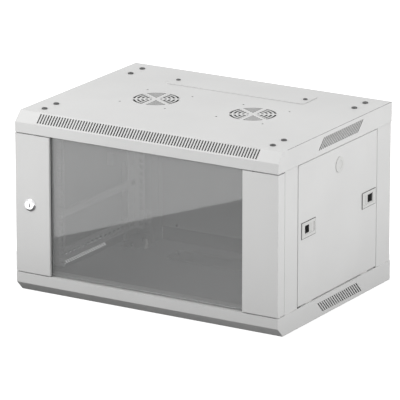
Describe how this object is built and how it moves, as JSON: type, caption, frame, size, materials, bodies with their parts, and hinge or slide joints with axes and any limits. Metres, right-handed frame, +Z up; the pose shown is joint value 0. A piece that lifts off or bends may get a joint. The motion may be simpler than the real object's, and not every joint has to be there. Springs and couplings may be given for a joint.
{
  "type": "wall mount network cabinet",
  "caption": "Wall mount network cabinet with a hinged glass door, lift-off side panels, vented roof and base, and adjustable 19-inch rails.",
  "frame": {"origin": "middle of the underside of the base, half way between the front and the rear of the trays", "axes": "+X to the right seen from the front, -Y towards the front with the door, +Z up"},
  "size_m": [0.6, 0.4532, 0.3736],
  "materials": {
    "light_grey_paint": "fine textured powder coat, light grey",
    "rail_paint": "smooth powder coat, light grey",
    "zinc_steel": "zinc plated",
    "dark_screws": "dark zinc plated",
    "chrome": "polished",
    "tinted_glass": "tinted, clear",
    "black_rubber": "matte",
    "grey_plastic": "matte, light grey",
    "white_nylon": "matte"
  },
  "bodies": {
    "cabinet": {"roof_panel": "light_grey_paint", "base_panel": "light_grey_paint", "roof_screws": "dark_screws", "base_screws": "dark_screws", "roof_cable_cover": "light_grey_paint", "base_cable_cover": "light_grey_paint", "cable_cover_screws": "dark_screws", "front_post_right": "light_grey_paint", "front_post_left": "light_grey_paint", "rear_post_right": "light_grey_paint", "rear_post_left": "light_grey_paint", "rear_panel": "light_grey_paint", "rear_panel_screws": "dark_screws", "lower_depth_rail_right": "rail_paint", "lower_depth_rail_left": "rail_paint", "upper_depth_rail_right": "rail_paint", "upper_depth_rail_left": "rail_paint", "depth_rail_screws": "zinc_steel", "front_rack_rail_right": "rail_paint", "front_rack_rail_left": "rail_paint", "rear_rack_rail_right": "rail_paint", "rear_rack_rail_left": "rail_paint", "side_brace_right": "rail_paint", "side_brace_left": "rail_paint", "rack_rail_bolts": "zinc_steel", "rack_rail_nuts": "zinc_steel", "side_panel_glides": "white_nylon", "lower_hinge_pin": "zinc_steel", "hinge_washer": "white_nylon", "door_buffers": "black_rubber", "earth_stud": "zinc_steel", "earth_nut": "zinc_steel"},
    "door": {"door_lock_strip": "light_grey_paint", "door_hinge_strip": "light_grey_paint", "door_glass": "tinted_glass", "glass_seals": "black_rubber", "glass_retainer_right": "rail_paint", "glass_retainer_left": "rail_paint", "glass_retainer_studs": "zinc_steel", "glass_retainer_nuts": "zinc_steel", "lock_housing": "chrome", "lock_nut": "zinc_steel", "hinge_brackets": "rail_paint", "hinge_pin_spring": "zinc_steel"},
    "lock": {"lock_plug": "chrome", "lock_cam": "zinc_steel", "lock_cam_screw": "zinc_steel"},
    "hinge_pin": {"upper_hinge_pin": "zinc_steel"},
    "side_panel_right": {"side_panel_right": "light_grey_paint", "latch_frames_right": "grey_plastic", "side_lock_cap_right": "grey_plastic"},
    "side_panel_left": {"side_panel_left": "light_grey_paint", "latch_frames_left": "grey_plastic", "side_lock_cap_left": "grey_plastic"},
    "front_latch_right": {"front_latch_slide_right": "grey_plastic"},
    "rear_latch_right": {"rear_latch_slide_right": "grey_plastic"},
    "front_latch_left": {"front_latch_slide_left": "grey_plastic"},
    "rear_latch_left": {"rear_latch_slide_left": "grey_plastic"}
  },
  "joints": [
    {"name": "door_hinge", "type": "hinge", "parent": "cabinet", "child": "door", "pos_m": [0.294, -0.214, 0.185], "axis": [0, 0, 1], "range_deg": [0, 180]},
    {"name": "lock_turn", "type": "hinge", "parent": "door", "child": "lock", "pos_m": [-0.2653, -0.225, 0.1835], "axis": [0, 1, 0], "range_deg": [0, 90]},
    {"name": "hinge_pin_draw", "type": "slide", "parent": "door", "child": "hinge_pin", "axis": [0, 0, -1], "range_m": [0, 0.008], "stiffness_N_per_m": 500, "springref_m": -0.01, "deforming": ["hinge_pin_spring"]},
    {"name": "side_panel_right_pull", "type": "slide", "parent": "cabinet", "child": "side_panel_right", "axis": [1, 0, 0], "range_m": [0, 0.06]},
    {"name": "side_panel_left_pull", "type": "slide", "parent": "cabinet", "child": "side_panel_left", "axis": [-1, 0, 0], "range_m": [0, 0.06]},
    {"name": "front_latch_right_slide", "type": "slide", "parent": "side_panel_right", "child": "front_latch_right", "axis": [0, -1, 0], "range_m": [0, 0.007]},
    {"name": "rear_latch_right_slide", "type": "slide", "parent": "side_panel_right", "child": "rear_latch_right", "axis": [0, 1, 0], "range_m": [0, 0.007]},
    {"name": "front_latch_left_slide", "type": "slide", "parent": "side_panel_left", "child": "front_latch_left", "axis": [0, -1, 0], "range_m": [0, 0.007]},
    {"name": "rear_latch_left_slide", "type": "slide", "parent": "side_panel_left", "child": "rear_latch_left", "axis": [0, 1, 0], "range_m": [0, 0.007]}
  ]
}
